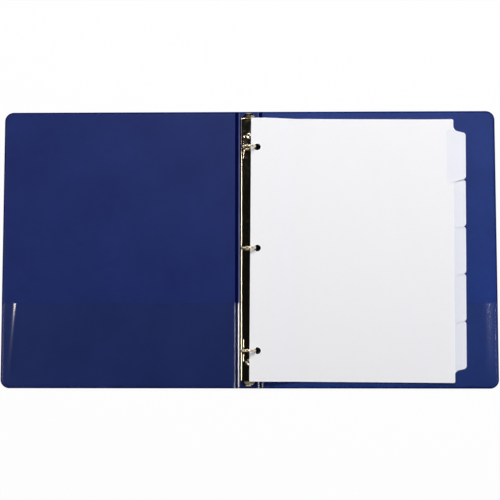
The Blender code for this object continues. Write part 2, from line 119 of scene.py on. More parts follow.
def roundCorners(shape, corners, radius, steps):
    bmesh.ops.bevel(
        shape, geom=list(corners), offset=radius * mm, offset_type="OFFSET", segments=steps, profile=0.5,
        affect="VERTICES", material=-1,
    )


def pick(made, kind):
    return [item for item in made if isinstance(item, kind)]


def faceOutwards(shape):
    bmesh.ops.recalc_face_normals(shape, faces=shape.faces[:])


def raiseAll(shape, height):
    bmesh.ops.translate(shape, vec=(0, 0, height), verts=shape.verts[:])


def evenSteps(low, high, steps):
    return [low + (high - low) * step / steps for step in range(steps + 1)]


def smoothStep(share):
    share = min(max(share, 0), 1)
    return share * share * (3 - 2 * share)


def within(value, band):
    # whether metres lie inside a band of millimetres
    return band[0] * mm < value < band[1] * mm


def nearAny(y, places, reach):
    return any(abs(y - place) < reach for place in places.values())


def readRow(value, rows):
    # value beside this one in rows of pairs, along straight lines
    for low, high in zip(rows, rows[1:]):
        if value <= high[0]:
            break
    return low[1] + (high[1] - low[1]) * (value - low[0]) / (high[0] - low[0])


def middleY(node):
    low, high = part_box(node)
    return (low.y + high.y) / 2


def addObject(name, data):
    thing = bpy.data.objects.new(name, data)
    bpy.context.scene.collection.objects.link(thing)
    return thing


def finishPiece(shape, name, materials, nodes=(), body=None, sharpAngle=40):
    shape.edges.index_update()
    openEdges = [edge.index for edge in shape.edges if edge.is_boundary]
    mesh = bpy.data.meshes.new(name)
    shape.to_mesh(mesh)
    shape.free()
    mesh.shade_smooth()
    mesh.set_sharp_from_angle(angle=math.radians(sharpAngle))
    for index in openEdges:  # a sheet's cut edges stay crisp once it has a wall
        mesh.edges[index].use_edge_sharp = True
    for material in materials:
        mesh.materials.append(material)
    piece = addObject(name, mesh)
    if body:
        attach(piece, body)
    if nodes:
        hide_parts(*nodes)
    return piece


def addWall(piece, thickness):
    # gives an open sheet its thickness, on the side away from its normals
    wall = piece.modifiers.new("wall", "SOLIDIFY")
    wall.thickness = thickness
    wall.offset = -1


# Materials

def addFlecks(tree, place, fleckMm, low, high, detail):
    # two colours blended by noise, and that noise; a Mix takes colours at 6 and 7 and gives one at 2
    noise = addNode(tree, "TexNoise", values={"Scale": perMm(fleckMm), "Detail": detail},
                    links={"Vector": place}).outputs["Fac"]
    blend = addNode(tree, "Mix", {"data_type": "RGBA"}, {6: linear(low), 7: linear(high)}, {0: noise})
    return blend.outputs[2], noise


vinylLook = {
    "roughness": 0.5, "roughnessSwing": 0.06, "specular": 0.15, "ior": 1.52,
    "mottleMm": 7.0, "mottleShare": 0.5, "cloudMm": 60.0, "toneRange": (0.45, 1.05),
    "grainMm": 1.7, "grainDepth": 0.06,
    "frontTones": ("#0F205D", "#162969"),
    "litBackTones": ("#112A6D", "#18357D"),  # the back cover's copy of the vinyl, a shade brighter: painted light for the sheen that falls on it
}


def makeNavyVinyl(name, tones, look):
    # calendered PVC sheet: a deep navy with a faint mottle and a fine pressed grain that softens its shine
    material, tree, shader, place = newMaterial(name)
    mottle = addNode(tree, "TexNoise", values={"Scale": perMm(look["mottleMm"]), "Detail": 4.0},
                     links={"Vector": place}).outputs["Fac"]
    cloud = addNode(tree, "TexNoise", values={"Scale": perMm(look["cloudMm"]), "Detail": 2.0},
                    links={"Vector": place}).outputs["Fac"]
    both = addNode(tree, "Math", {"operation": "MULTIPLY_ADD"}, {1: look["mottleShare"]},
                   {0: mottle, 2: cloud})
    toneLow, toneHigh = look["toneRange"]
    spread = addNode(tree, "MapRange", values={"From Min": toneLow, "From Max": toneHigh},
                     links={"Value": both.outputs["Value"]})
    deep, pale = tones
    shade = addNode(tree, "Mix", {"data_type": "RGBA"}, {6: linear(deep), 7: linear(pale)},
                    {0: spread.outputs["Result"]})
    # the real grain is about 0.3 mm; drawn coarser so that it shows
    grain = addNode(tree, "TexNoise", values={"Scale": perMm(look["grainMm"]), "Detail": 3.0},
                    links={"Vector": place})
    bump = addNode(tree, "Bump", values={"Strength": 0.25, "Distance": look["grainDepth"] * mm},
                   links={"Height": grain.outputs["Fac"]})
    middle, swing = look["roughness"], look["roughnessSwing"]
    gloss = addNode(tree, "MapRange", values={"To Min": middle - swing, "To Max": middle + swing},
                    links={"Value": mottle})
    fillSockets(tree, shader, {"Specular IOR Level": look["specular"], "IOR": look["ior"]}, {
        "Base Color": shade.outputs[2], "Roughness": gloss.outputs["Result"],
        "Normal": bump.outputs["Normal"],
    })
    return material


# painted shade: the fused vinyl's near-black colours stand in for the shade in its grooves
weldShadeLook = {
    "colour": "#040A34", "worn": "#081148", "roughness": 0.6, "specular": 0.0, "ior": 1.53,
    "rippleMm": 3.0, "rippleDepth": 0.1,
}


def makeWeldShadeVinyl(look):
    # the same PVC where a hot bar fused it: matt, with faint ripples, and close to black, a painted shade
    # for the grooves it lines
    material, tree, shader, place = newMaterial("fusedNavyVinylPaintedShade")
    shade, ripple = addFlecks(tree, place, look["rippleMm"], look["colour"], look["worn"], detail=2.0)
    bump = addNode(tree, "Bump", values={"Strength": 0.2, "Distance": look["rippleDepth"] * mm},
                   links={"Height": ripple})
    fillSockets(tree, shader, {
        "Roughness": look["roughness"], "Specular IOR Level": look["specular"], "IOR": look["ior"],
    }, {"Base Color": shade, "Normal": bump.outputs["Normal"]})
    return material


# painted highlight: the bead's vinyl is paler than the sheet
rubbedHighlightLook = {
    "colour": "#2E3873", "worn": "#414B84", "roughness": 0.32, "specular": 0.35, "ior": 1.52, "rubMm": 9.0,
}


def makeRubbedHighlightVinyl(look):
    # the same PVC along a crease: stretched and rubbed, so a little shinier, and painted paler, unevenly,
    # as a highlight on the bead
    material, tree, shader, place = newMaterial("rubbedNavyVinylPaintedHighlight")
    shade, _ = addFlecks(tree, place, look["rubMm"], look["colour"], look["worn"], detail=3.0)
    fillSockets(tree, shader, {
        "Roughness": look["roughness"], "Specular IOR Level": look["specular"], "IOR": look["ior"],
    }, {"Base Color": shade})
    return material


filmLook = {
    "colour": "#1E4A58", "alpha": 0.055, "hingeAlpha": 0.09, "fusedAlpha": 0.012, "roughness": 0.2,
    "specular": 1.0, "ior": 4.0,  # far over the film's own 1.49, since alpha thins the shine as well
    "rippleMm": 9.0, "rippleDepth": 0.03, "rippleStrength": 0.3,
}
# laminate over the tabs: a faint blue cast and a little more shine than the card
tabFilmLook = {
    "colour": "#9FB0FF", "alpha": 0.025, "roughness": 0.2, "specular": 0.5, "ior": 1.6,
    "rippleMm": 5.0, "rippleDepth": 0.03, "rippleStrength": 0.15,
}


def makeClearFilm(name, alpha, look):
    # clear polypropylene film: all but unseen save for its shine, a slight cool tint and soft ripples
    material, tree, shader, place = newMaterial(name)
    ripple = addNode(tree, "TexNoise", values={"Scale": perMm(look["rippleMm"]), "Detail": 1.0},
                     links={"Vector": place})
    bump = addNode(tree, "Bump", links={"Height": ripple.outputs["Fac"]}, values={
        "Strength": look["rippleStrength"], "Distance": look["rippleDepth"] * mm})
    fillSockets(tree, shader, {
        "Base Color": linear(look["colour"]), "Alpha": alpha, "Roughness": look["roughness"],
        "Specular IOR Level": look["specular"], "IOR": look["ior"],
    }, {"Normal": bump.outputs["Normal"]})
    return material


nickelLook = {
    "colour": "#DFD3BA", "dull": "#BFB197", "roughness": 0.07, "dullRoughness": 0.17,
    "wearMm": 4.0, "wearRange": (0.5, 0.75), "waveMm": 14.0, "waveDepth": 0.05,
}


def makeNickelPlate(look):
    # nickel-plated pressed steel: a warm mirror with slight waves from the press and duller rubbed patches
    material, tree, shader, place = newMaterial("nickelPlatedSteel")
    wear = addNode(tree, "TexNoise", values={"Scale": perMm(look["wearMm"]), "Detail": 5.0},
                   links={"Vector": place})
    wearLow, wearHigh = look["wearRange"]
    rubbed = addNode(tree, "MapRange", values={"From Min": wearLow, "From Max": wearHigh},
                     links={"Value": wear.outputs["Fac"]}).outputs["Result"]
    shade = addNode(tree, "Mix", {"data_type": "RGBA"},
                    {6: linear(look["colour"]), 7: linear(look["dull"])}, {0: rubbed})
    gloss = addNode(tree, "MapRange", links={"Value": rubbed}, values={
        "To Min": look["roughness"], "To Max": look["dullRoughness"]})
    wave = addNode(tree, "TexNoise", values={"Scale": perMm(look["waveMm"]), "Detail": 1.0},
                   links={"Vector": place})
    bump = addNode(tree, "Bump", values={"Strength": 0.4, "Distance": look["waveDepth"] * mm},
                   links={"Height": wave.outputs["Fac"]})
    fillSockets(tree, shader, {"Metallic": 1.0}, {
        "Base Color": shade.outputs[2], "Roughness": gloss.outputs["Result"],
        "Normal": bump.outputs["Normal"],
    })
    return material


cardLook = {
    "colour": "#F4F4F5", "fibre": "#F9F9FA", "paintedEdgeHighlight": "#FFFFFF", "roughness": 0.72,
    "fibreMm": 1.6, "fibreDepth": 0.03,
}


def makeIndexCard(look):
    # uncoated index card: bright white, faintly flecked by its fibres, with a painted highlight along its
    # cut edges
    material, tree, shader, place = newMaterial("whiteIndexCard")
    # paper fibres are about 0.05 mm wide; drawn coarser so that they show
    sheet, fibre = addFlecks(tree, place, look["fibreMm"], look["colour"], look["fibre"], detail=6.0)
    edgeHighlightMask = addNode(tree, "Attribute", {"attribute_name": "paintedEdgeHighlight"})
    withEdgeHighlight = addNode(tree, "Mix", {"data_type": "RGBA"}, {7: linear(look["paintedEdgeHighlight"])},
                    {0: edgeHighlightMask.outputs["Fac"], 6: sheet})
    bump = addNode(tree, "Bump", values={"Strength": 0.15, "Distance": look["fibreDepth"] * mm},
                   links={"Height": fibre})
    fillSockets(tree, shader, {"Roughness": look["roughness"]},
                {"Base Color": withEdgeHighlight.outputs[2], "Normal": bump.outputs["Normal"]})
    return material


boardLook = {"colour": "#8E877B", "fleck": "#6F685D", "fleckMm": 1.2, "roughness": 0.92}


def makeGreyBoard(look):
    # greyboard from pulped paper: dull grey-brown with darker flecks
    material, tree, shader, place = newMaterial("pulpGreyboard")
    shade, _ = addFlecks(tree, place, look["fleckMm"], look["fleck"], look["colour"], detail=6.0)
    fillSockets(tree, shader, {"Roughness": look["roughness"]}, {"Base Color": shade})
    return material


navyVinyl = makeNavyVinyl("calenderedNavyVinyl", vinylLook["frontTones"], vinylLook)
# painted light: the back cover gets its own brighter copy of the same vinyl
paintedLightBackVinyl = makeNavyVinyl("calenderedBackVinylPaintedLight", vinylLook["litBackTones"], vinylLook)
weldedShadeVinyl = makeWeldShadeVinyl(weldShadeLook)
rubbedHighlightVinyl = makeRubbedHighlightVinyl(rubbedHighlightLook)
clearFilm = makeClearFilm("clearPocketFilm", filmLook["alpha"], filmLook)
hingeFilm = makeClearFilm("stretchedHingeFilm", filmLook["hingeAlpha"], filmLook)
fusedFilm = makeClearFilm("fusedRimFilm", filmLook["fusedAlpha"], filmLook)  # melted in, next to no shine
nickelPlate = makeNickelPlate(nickelLook)
indexCard = makeIndexCard(cardLook)
tabFilm = makeClearFilm("laminatedTabFilm", tabFilmLook["alpha"], tabFilmLook)
greyBoard = makeGreyBoard(boardLook)

# CAD nodes that stay as they are, with finished materials
keptNodes = {
    "front_board": greyBoard, "spine_board": greyBoard, "back_board": greyBoard,
    "spine_outer_vinyl": navyVinyl, "left_hinge_plate": nickelPlate, "right_hinge_plate": nickelPlate,
}
for name, material in keptNodes.items():
    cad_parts[name].data.materials.clear()
    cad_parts[name].data.materials.append(material)
print("materials made")


# Case: skins welded round the boards
# Rim rows are pairs of (distance in from the rim, rise over the case's middle) in mm

caseSkin = {
    "thickness": 0.3, "cornerRadius": 9.5, "cornerSteps": 14,
    "rimRows": [
        (0, 0.03), (0.1, 0.2), (0.3, 0.32), (0.75, 0.34), (0.95, 0.27), (1.15, 0.26),
        (1.35, 0.34), (1.6, 0.52), (1.95, 0.86), (2.3, 1.12), (2.7, 1.25), (3.2, 1.3), (4.0, 1.3),
    ],
    "weldBand": (0.75, 1.4),  # the pressed groove, in from the rim, in near-black vinyl as painted shade
    "hingeOverrun": 6.0,  # drawn past the hinge, then trimmed, so that the hinge side has no weld rim
    "hingeRoll": [(0.4, 1.3), (0.12, 1.18), (0.0, 0.85), (0.0, 0.45)],  # fall into the hinge groove
    "flatMargin": 0.8,  # a narrow flat row beside each roll keeps the wide flat's shading flat
}
sides = {"front": -1, "back": 1}
facings = {"inner": 1, "outer": -1}
coverLow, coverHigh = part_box("back_inner_vinyl")
caseHalf = coverHigh.y
caseMid = (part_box("back_outer_vinyl")[0].z + coverHigh.z) / 2


def letIn(shape, face, rows):
    # lets a flat face in from its rim, row by row
    done = 0
    for distance, rise in rows:
        if distance > done:
            face.normal_update()
            bmesh.ops.inset_region(
                shape, faces=[face], thickness=(distance - done) * mm,
                use_even_offset=True, use_boundary=True,
            )
            done = distance
        for vert in face.verts:
            vert.co.z = rise * mm


def rollOff(shape, edges, rows):
    # carries an open edge on through rows of (x, rise), staying under the weld rim at both ends
    for x, rise in rows:
        made = bmesh.ops.extrude_edge_only(shape, edges=edges)
        edges = pick(made["geom"], BMEdge)
        for vert in pick(made["geom"], BMVert):
            vert.co.x = x
            vert.co.z = min(vert.co.z, rise * mm)


def openEdgesAt(shape, x):
    return [
        edge for edge in shape.edges
        if edge.is_boundary and all(abs(vert.co.x - x) < snap for vert in edge.verts)
    ]


def weldedPanel(rimRows, hingeRoll):
    # a back cover panel about the case's middle, from its welded rim in to its flat
    shape = bmesh.new()
    start = coverLow.x - caseSkin["hingeOverrun"] * mm
    corners = [(start, -caseHalf), (coverHigh.x, -caseHalf), (coverHigh.x, caseHalf), (start, caseHalf)]
    verts = flatOutline(shape, corners)
    roundCorners(shape, verts[1:3], caseSkin["cornerRadius"], caseSkin["cornerSteps"])
    shape.faces.ensure_lookup_table()
    letIn(shape, shape.faces[0], rimRows)
    trim = coverLow.x + hingeRoll[0][0] * mm
    cutAcross(shape, 0, [trim], dropBelow=True)
    cutAcross(shape, 0, [trim + caseSkin["flatMargin"] * mm])
    rollOff(shape, openEdgesAt(shape, trim), [(coverLow.x + x * mm, rise) for x, rise in hingeRoll[1:]])
    return shape


def markRim(shape, band):
    # a band along the rim takes the second material
    corner = caseSkin["cornerRadius"] * mm
    for face in shape.faces:
        middle = face.calc_center_median()
        inFromRim = min(coverHigh.x - abs(middle.x), caseHalf - abs(middle.y))
        pastX = abs(middle.x) - (coverHigh.x - corner)
        pastY = abs(middle.y) - (caseHalf - corner)
        if pastX > 0 and pastY > 0:
            inFromRim = corner - math.hypot(pastX, pastY)
        face.material_index = int(within(inFromRim, band))


def turnPanel(shape, side, facing):
    # to the front or back cover and the inside or outside of the case, faces outwards
    bmesh.ops.scale(shape, vec=(side, 1, facing), verts=shape.verts[:])
    raiseAll(shape, caseMid)
    if side * facing < 0:
        bmesh.ops.reverse_faces(shape, faces=shape.faces[:])


def makeCoverSkin(sideName, facingName, look):
    shape = weldedPanel(look["rimRows"], look["hingeRoll"])
    markRim(shape, look["weldBand"])
    turnPanel(shape, sides[sideName], facings[facingName])
    # painted light: the back cover takes the brighter copy of the vinyl
    sheet = paintedLightBackVinyl if sideName == "back" else navyVinyl
    skin = finishPiece(shape, f"{sideName}_{facingName}_skin", [sheet, weldedShadeVinyl],
                       [f"{sideName}_{facingName}_vinyl"], f"{sideName}_cover", sharpAngle=60)
    addWall(skin, look["thickness"] * mm)


for sideName in sides:
    for facingName in facings:
        makeCoverSkin(sideName, facingName, caseSkin)

# Spine: bead rows are pairs of (distance from the spine's middle, rise) in mm
spineSkin = {
    "flat": 9.3,
    "beadRows": [
        (9.5, 1.26), (9.65, 1.21), (9.8, 1.155), (10.2, 1.003), (10.6, 0.851), (10.72, 0.8), (10.82, 0.72),
        (10.9, 0.6),
    ],
    "rubbed": (9.6, 10.75),  # the bead, from and to, in paler vinyl: a painted highlight
    "pressed": (7.5, 9.4),  # painted shade: a near-black strip beside the housing's lip, from and to
    "shankHole": 2.4,  # half the hole round each rivet's shank
}
rivetPlaces = {name: middleY(name) for name in ("top_rivet", "bottom_rivet")}


def makeSpineSkin(look):
    # flat under the ring metal, then a sloping bead along both hinges
    shape = bmesh.new()
    flat = look["flat"] * mm
    reach = flat + caseSkin["hingeOverrun"] * mm
    flatOutline(shape, [(-reach, -caseHalf), (reach, -caseHalf), (reach, caseHalf), (-reach, caseHalf)])
    shape.faces.ensure_lookup_table()
    letIn(shape, shape.faces[0], caseSkin["rimRows"])
    cutAcross(shape, 0, [-flat], dropBelow=True)
    cutAcross(shape, 0, [flat], dropAbove=True)
    shoulder = flat - caseSkin["flatMargin"] * mm
    cutAcross(shape, 0, [-shoulder, shoulder])
    for side in (-1, 1):
        bead = [(side * x * mm, rise) for x, rise in look["beadRows"]]
        rollOff(shape, openEdgesAt(shape, side * flat), bead)
    metalLow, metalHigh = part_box("ring_housing")
    cutAcross(shape, 1, [metalLow.y, metalHigh.y])
    cutAcross(shape, 0, [side * x * mm for side in (-1, 1) for x in look["pressed"]])
    sheets = [navyVinyl, weldedShadeVinyl, rubbedHighlightVinyl]
    for face in shape.faces:
        middle = face.calc_center_median()
        # painted shade: the strip beside the housing takes the near-black fused vinyl
        paintedShadeBesideMetal = metalLow.y < middle.y < metalHigh.y and within(abs(middle.x), look["pressed"])
        if paintedShadeBesideMetal or within(caseHalf - abs(middle.y), caseSkin["weldBand"]):
            face.material_index = sheets.index(weldedShadeVinyl)
        # painted highlight: the bead takes the paler vinyl
        elif within(abs(middle.x), look["rubbed"]):
            face.material_index = sheets.index(rubbedHighlightVinyl)
    hole = look["shankHole"] * mm
    cutAcross(shape, 0, [-hole, hole])
    for y in rivetPlaces.values():
        cutAcross(shape, 1, [y - hole, y + hole])
    middles = [(face, face.calc_center_median()) for face in shape.faces]
    inHole = [face for face, at in middles if abs(at.x) < hole and nearAny(at.y, rivetPlaces, hole)]
    bmesh.ops.delete(shape, geom=inHole, context="FACES")
    raiseAll(shape, caseMid)
    piece = finishPiece(shape, "spine_inner_skin", sheets, ["spine_inner_vinyl"], "spine",
                        sharpAngle=60)
    addWall(piece, caseSkin["thickness"] * mm)


makeSpineSkin(spineSkin)

# Hinges: rows as for the spine
hingeSkin = {
    "topRows": [
        (10.9, 0.6), (11.1, 0.35), (11.4, 0.15), (11.9, 0.05), (12.3, 0.02), (12.7, 0.0), (13.1, 0.02),
        (13.5, 0.06), (13.9, 0.13), (14.25, 0.27), (14.5, 0.45),
    ],
    "under": -0.35, "underDip": 0.06, "lengthSteps": 24,
}
hingeStart, hingeEnd = hingeSkin["topRows"][0][0] * mm, hingeSkin["topRows"][-1][0] * mm


def carryAlong(shape, section, places):
    # draws a closed section at the first place along Y and extrudes it through the others
    verts = [shape.verts.new((x, places[0], z)) for x, z in section]
    faces = [shape.faces.new(verts)]
    for before, place in zip(places, places[1:]):
        made = bmesh.ops.extrude_face_region(shape, geom=faces)
        faces = pick(made["geom"], BMFace)
        bmesh.ops.translate(shape, vec=(0, place - before, 0), verts=pick(made["geom"], BMVert))
    faceOutwards(shape)


def bendWith(piece):
    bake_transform(piece)


def makeHingeStrip(sideName, side, look):
    # the fused hinge: a groove pressed from inside, thin enough to fold, all in near-black vinyl that
    # paints the groove's shade
    shape = bmesh.new()
    top = [(side * x * mm, caseMid + rise * mm) for x, rise in look["topRows"]]
    middle = (hingeStart + hingeEnd) / 2
    under = []
    for x, _ in reversed(top):
        dip = 1 - (abs(abs(x) - middle) / (middle - hingeStart)) ** 2
        under.append((x, caseMid + (look["under"] + look["underDip"] * dip) * mm))
    carryAlong(shape, top + under, evenSteps(-caseHalf, caseHalf, look["lengthSteps"]))
    strip = finishPiece(shape, f"{sideName}_hinge_skin", [weldedShadeVinyl],
                        [f"{sideName}_hinge_strip"])
    bendWith(strip)


for sideName, side in sides.items():
    makeHingeStrip(sideName, side, hingeSkin)
print("case skinned")


# Clear pockets: film over the lower part of both covers, welded on three edges

pocketFilm = {
    "thickness": 0.12,
    "rimRows": [
        (0, 0.17), (0.1, 0.34), (0.3, 0.46), (0.75, 0.48), (1.2, 0.46), (1.45, 0.56), (1.75, 0.8),
        (2.05, 1.08), (2.4, 1.3), (2.8, 1.4), (3.2, 1.43), (4.0, 1.43),
    ],
    "fusedBand": (0.0, 3.0),  # melted on to the vinyl, in from the rim
    "hingeRoll": [(0.7, 1.43)],
    "hingeRows": [  # slack over the groove, then up on to the spine's bead
        (15.2, 1.43), (15.1, 1.395), (14.9, 1.32), (14.65, 1.225), (14.5, 1.14), (14.3, 0.98), (14.0, 0.82),
        (13.5, 0.73), (12.9, 0.7), (12.0, 0.7), (11.5, 0.73), (11.2, 0.8), (11.05, 0.87), (10.9, 0.93),
        (10.5, 1.08), (10.1, 1.23), (9.95, 1.28), (9.7, 1.34), (9.5, 1.37), (9.2, 1.38),
    ],
    "hingeInset": 0.6, "hingeSteps": 8,
    # rows of the film, down from its mouth
    "mouthSteps": [0.6, 1.5, 3, 5, 8, 12, 17, 23, 30, 38, 46, 54, 63, 72, 80],
    # the front mouth's lift, how far down it dies away and how far in from the edges it starts
    "frontMouthGape": {"lift": 0.35, "depth": 7.0, "inset": 12.0},
    # a tension ridge's distance in from the outer edge, at the mouth and lower down, and its size
    # steep is the share of its height that dies away over the fade, the rest lasts to the bottom weld
    "frontRidge": {
        "atMouth": 16.6, "lower": 9.5, "length": 87.0, "height": 0.82, "halfWidth": 2.8, "spread": 11.0,
        "steep": 0.52, "fade": 20.0,
    },
    "backRidge": {
        "atMouth": 15.6, "lower": 14.6, "length": 87.0, "height": 1.35, "halfWidth": 8.2, "spread": 13.0,
        "steep": 0.3, "fade": 30.0,
    },
    "ridgeStep": 0.5, "ridgePower": 3,
    "ridgeMargin": 3.3,  # fine rows keep this far from the outer edge, clear of its weld
}
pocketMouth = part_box("back_pocket")[1].y
filmFlat = pocketFilm["rimRows"][-1][1] * mm


def shapeFilm(shape, ridge, gape, look):
    # lifts the flat of the film into a tension ridge from its mouth, and lets the mouth stand open a little
    step = look["ridgeStep"]
    reach = int(ridge["spread"] / step)
    lines = [coverHigh.x - (ridge["atMouth"] + row * step) * mm for row in range(-reach, reach + 1)]
    cutAcross(shape, 0, [x for x in lines if x < coverHigh.x - look["ridgeMargin"] * mm])
    cutAcross(shape, 1, [pocketMouth - down * mm for down in look["mouthSteps"]])
    for vert in shape.verts:
        if vert.co.z < filmFlat - snap:
            continue
        below = (pocketMouth - vert.co.y) / mm
        inFromEdge = (coverHigh.x - vert.co.x) / mm
        share = min(below / ridge["length"], 1)
        centre = ridge["atMouth"] + (ridge["lower"] - ridge["atMouth"]) * share
        hump = math.exp(-(((inFromEdge - centre) / ridge["halfWidth"]) ** 2))
        # falls off fast below the mouth, then slowly to nothing at the bottom weld
        slowFall = (1 - ridge["steep"]) * (1 - share ** look["ridgePower"])
        fall = ridge["steep"] * math.exp(-below / ridge["fade"]) + slowFall
        lift = ridge["height"] * hump * fall
        if gape:
            fromHinge = (vert.co.x - coverLow.x) / mm
            ends = smoothStep(inFromEdge / gape["inset"]) * smoothStep(fromHinge / gape["inset"])
            lift += gape["lift"] * math.exp(-below / gape["depth"]) * ends
        vert.co.z += lift * mm


def makePocket(sideName, side, look):
    shape = weldedPanel(look["rimRows"], look["hingeRoll"])
    cutAcross(shape, 1, [pocketMouth], dropAbove=True)
    gape = look["frontMouthGape"] if sideName == "front" else None
    shapeFilm(shape, look[f"{sideName}Ridge"], gape, look)
    markRim(shape, look["fusedBand"])
    turnPanel(shape, side, facings["inner"])
    film = finishPiece(shape, f"{sideName}_pocket_film", [clearFilm, fusedFilm],
                       [f"{sideName}_pocket"], f"{sideName}_cover", sharpAngle=60)
    addWall(film, look["thickness"] * mm)


def makeHingeLap(sideName, side, look):
    # the same film carried over the hinge and welded to the spine's bead
    shape = bmesh.new()
    top = [(side * x * mm, caseMid + rise * mm) for x, rise in look["hingeRows"]]
    under = [(x, z - look["thickness"] * mm) for x, z in reversed(top)]
    places = evenSteps(-caseHalf + look["hingeInset"] * mm, pocketMouth, look["hingeSteps"])
    carryAlong(shape, top + under, places)
    lap = finishPiece(shape, f"{sideName}_hinge_film", [hingeFilm], sharpAngle=60)
    bendWith(lap)


for sideName, side in sides.items():
    makePocket(sideName, side, pocketFilm)
    makeHingeLap(sideName, side, pocketFilm)
print("pockets made")


# Ring metal: housing

housingShell = {
    "sheet": 0.8, "wallHeight": 1.7, "archPower": 8.0, "archSteps": 44, "curlSteps": 8, "lipDepth": 1.4,
    "lipHeight": 1.8, "lengthStep": 2.2,
    "slot": {"near": 3.02, "above": 2.9, "halfLength": 1.55},  # for each half ring
    "neckHole": 2.05,  # half the hole round each rivet's neck
    # ribs pressed up beside the end rings, to stiffen the slots
    "rib": {
        "x": 4.8, "fromRing": 7.6, "halfLength": 4.6, "halfWidth": 0.6, "height": 0.3, "step": 0.5,
        "endShare": 0.25, "above": 3.0,
    },
}
housingLow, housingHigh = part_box("ring_housing")
ringPlaces = {name: middleY(f"right_ring_{name}") for name in ("top", "middle", "bottom")}


def housingSection(look):
    # half the outer face of the sheet, from the crown down the wall and round the curled lip, then mirrored
    spring = housingLow.z + look["wallHeight"] * mm
    rise = housingHigh.z - spring
    power = 2 / look["archPower"]
    half = []
    for angle in evenSteps(0, math.pi / 2, look["archSteps"]):
        across = housingHigh.x * math.sin(angle) ** power
        half.append((across, spring + rise * abs(math.cos(angle)) ** power))
    curl = (look["lipDepth"] + look["sheet"]) / 2 * mm
    centreX, centreZ = housingHigh.x - curl, housingLow.z + curl
    for angle in evenSteps(0, math.pi, look["curlSteps"]):
        half.append((centreX + curl * math.cos(angle), centreZ - curl * math.sin(angle)))
    half.append((housingHigh.x - 2 * curl, housingLow.z + look["lipHeight"] * mm))
    return [(-x, z) for x, z in reversed(half[1:])] + half


def housingRows(look):
    # places along the housing: fine across the ribs and slots, wide elsewhere
    slot = look["slot"]["halfLength"] * mm
    hole = look["neckHole"] * mm
    rib = look["rib"]
    ribHalf, ribSteps = rib["halfLength"] * mm, round(2 * rib["halfLength"] / rib["step"])
    length = housingHigh.y - housingLow.y
    rows = evenSteps(housingLow.y, housingHigh.y, int(length / (look["lengthStep"] * mm)))
    for ringName, y in ringPlaces.items():
        rows += [y - slot, y + slot]
        if ringName == "middle":
            continue
        for end in (-1, 1):
            middle = y + end * rib["fromRing"] * mm
            rows += evenSteps(middle - ribHalf, middle + ribHalf, ribSteps)
    for y in rivetPlaces.values():
        rows += [y - hole, y + hole]
    return sorted(set(round(row, 6) for row in rows))  # to the micron, so that rows at one place are one


def pressRibs(shape, rib):
    shape.normal_update()
    moves = []
    for vert in shape.verts:
        across = abs(abs(vert.co.x) - rib["x"] * mm) / (rib["halfWidth"] * mm)
        if across > 1 or vert.co.z < housingLow.z + rib["above"] * mm:
            continue
        for ringName in ("top", "bottom"):
            fromRing = abs(vert.co.y - ringPlaces[ringName])
            along = abs(fromRing - rib["fromRing"] * mm) / (rib["halfLength"] * mm)
            if along < 1:
                lift = (1 - across ** 2) * min((1 - along) / rib["endShare"], 1) * rib["height"] * mm
                moves.append((vert, vert.normal * lift))
    for vert, move in moves:
        vert.co += move


def makeHousing(look):
    shape = bmesh.new()
    rows = housingRows(look)
    _, edges = openLine(shape, [(x, rows[0], z) for x, z in housingSection(look)])
    for before, place in zip(rows, rows[1:]):
        made = bmesh.ops.extrude_edge_only(shape, edges=edges)
        edges = pick(made["geom"], BMEdge)
        bmesh.ops.translate(shape, vec=(0, place - before, 0), verts=pick(made["geom"], BMVert))
    faceOutwards(shape)
    crown = max(shape.faces, key=lambda face: face.calc_center_median().z)
    if crown.normal.z < 0:
        bmesh.ops.reverse_faces(shape, faces=shape.faces[:])
    pressRibs(shape, look["rib"])
    slot = look["slot"]
    slotNear, slotHalf = slot["near"] * mm, slot["halfLength"] * mm
    slotLow = housingLow.z + slot["above"] * mm
    hole = look["neckHole"] * mm
    cutAcross(shape, 0, [-slotNear, slotNear, -hole, hole])
    gone = []
    for face in shape.faces:
        middle = face.calc_center_median()
        inSlot = abs(middle.x) > slotNear and nearAny(middle.y, ringPlaces, slotHalf)
        inHole = abs(middle.x) < hole and nearAny(middle.y, rivetPlaces, hole)
        if middle.z > slotLow and (inSlot or inHole):
            gone.append(face)
    bmesh.ops.delete(shape, geom=gone, context="FACES")
    piece = finishPiece(shape, "ring_housing_shell", [nickelPlate], ["ring_housing"],
                        "spine")
    addWall(piece, look["sheet"] * mm)


makeHousing(housingShell)

# Ring metal: half rings of round wire

ringWire = {
    "radius": 7.5, "wire": 2.4, "tipGap": 0.1, "tipBevel": 0.22, "tipSteps": 3, "stemX": 5.7,
    "stemLength": 1.95, "wireSides": 24, "bendSteps": 44,
}


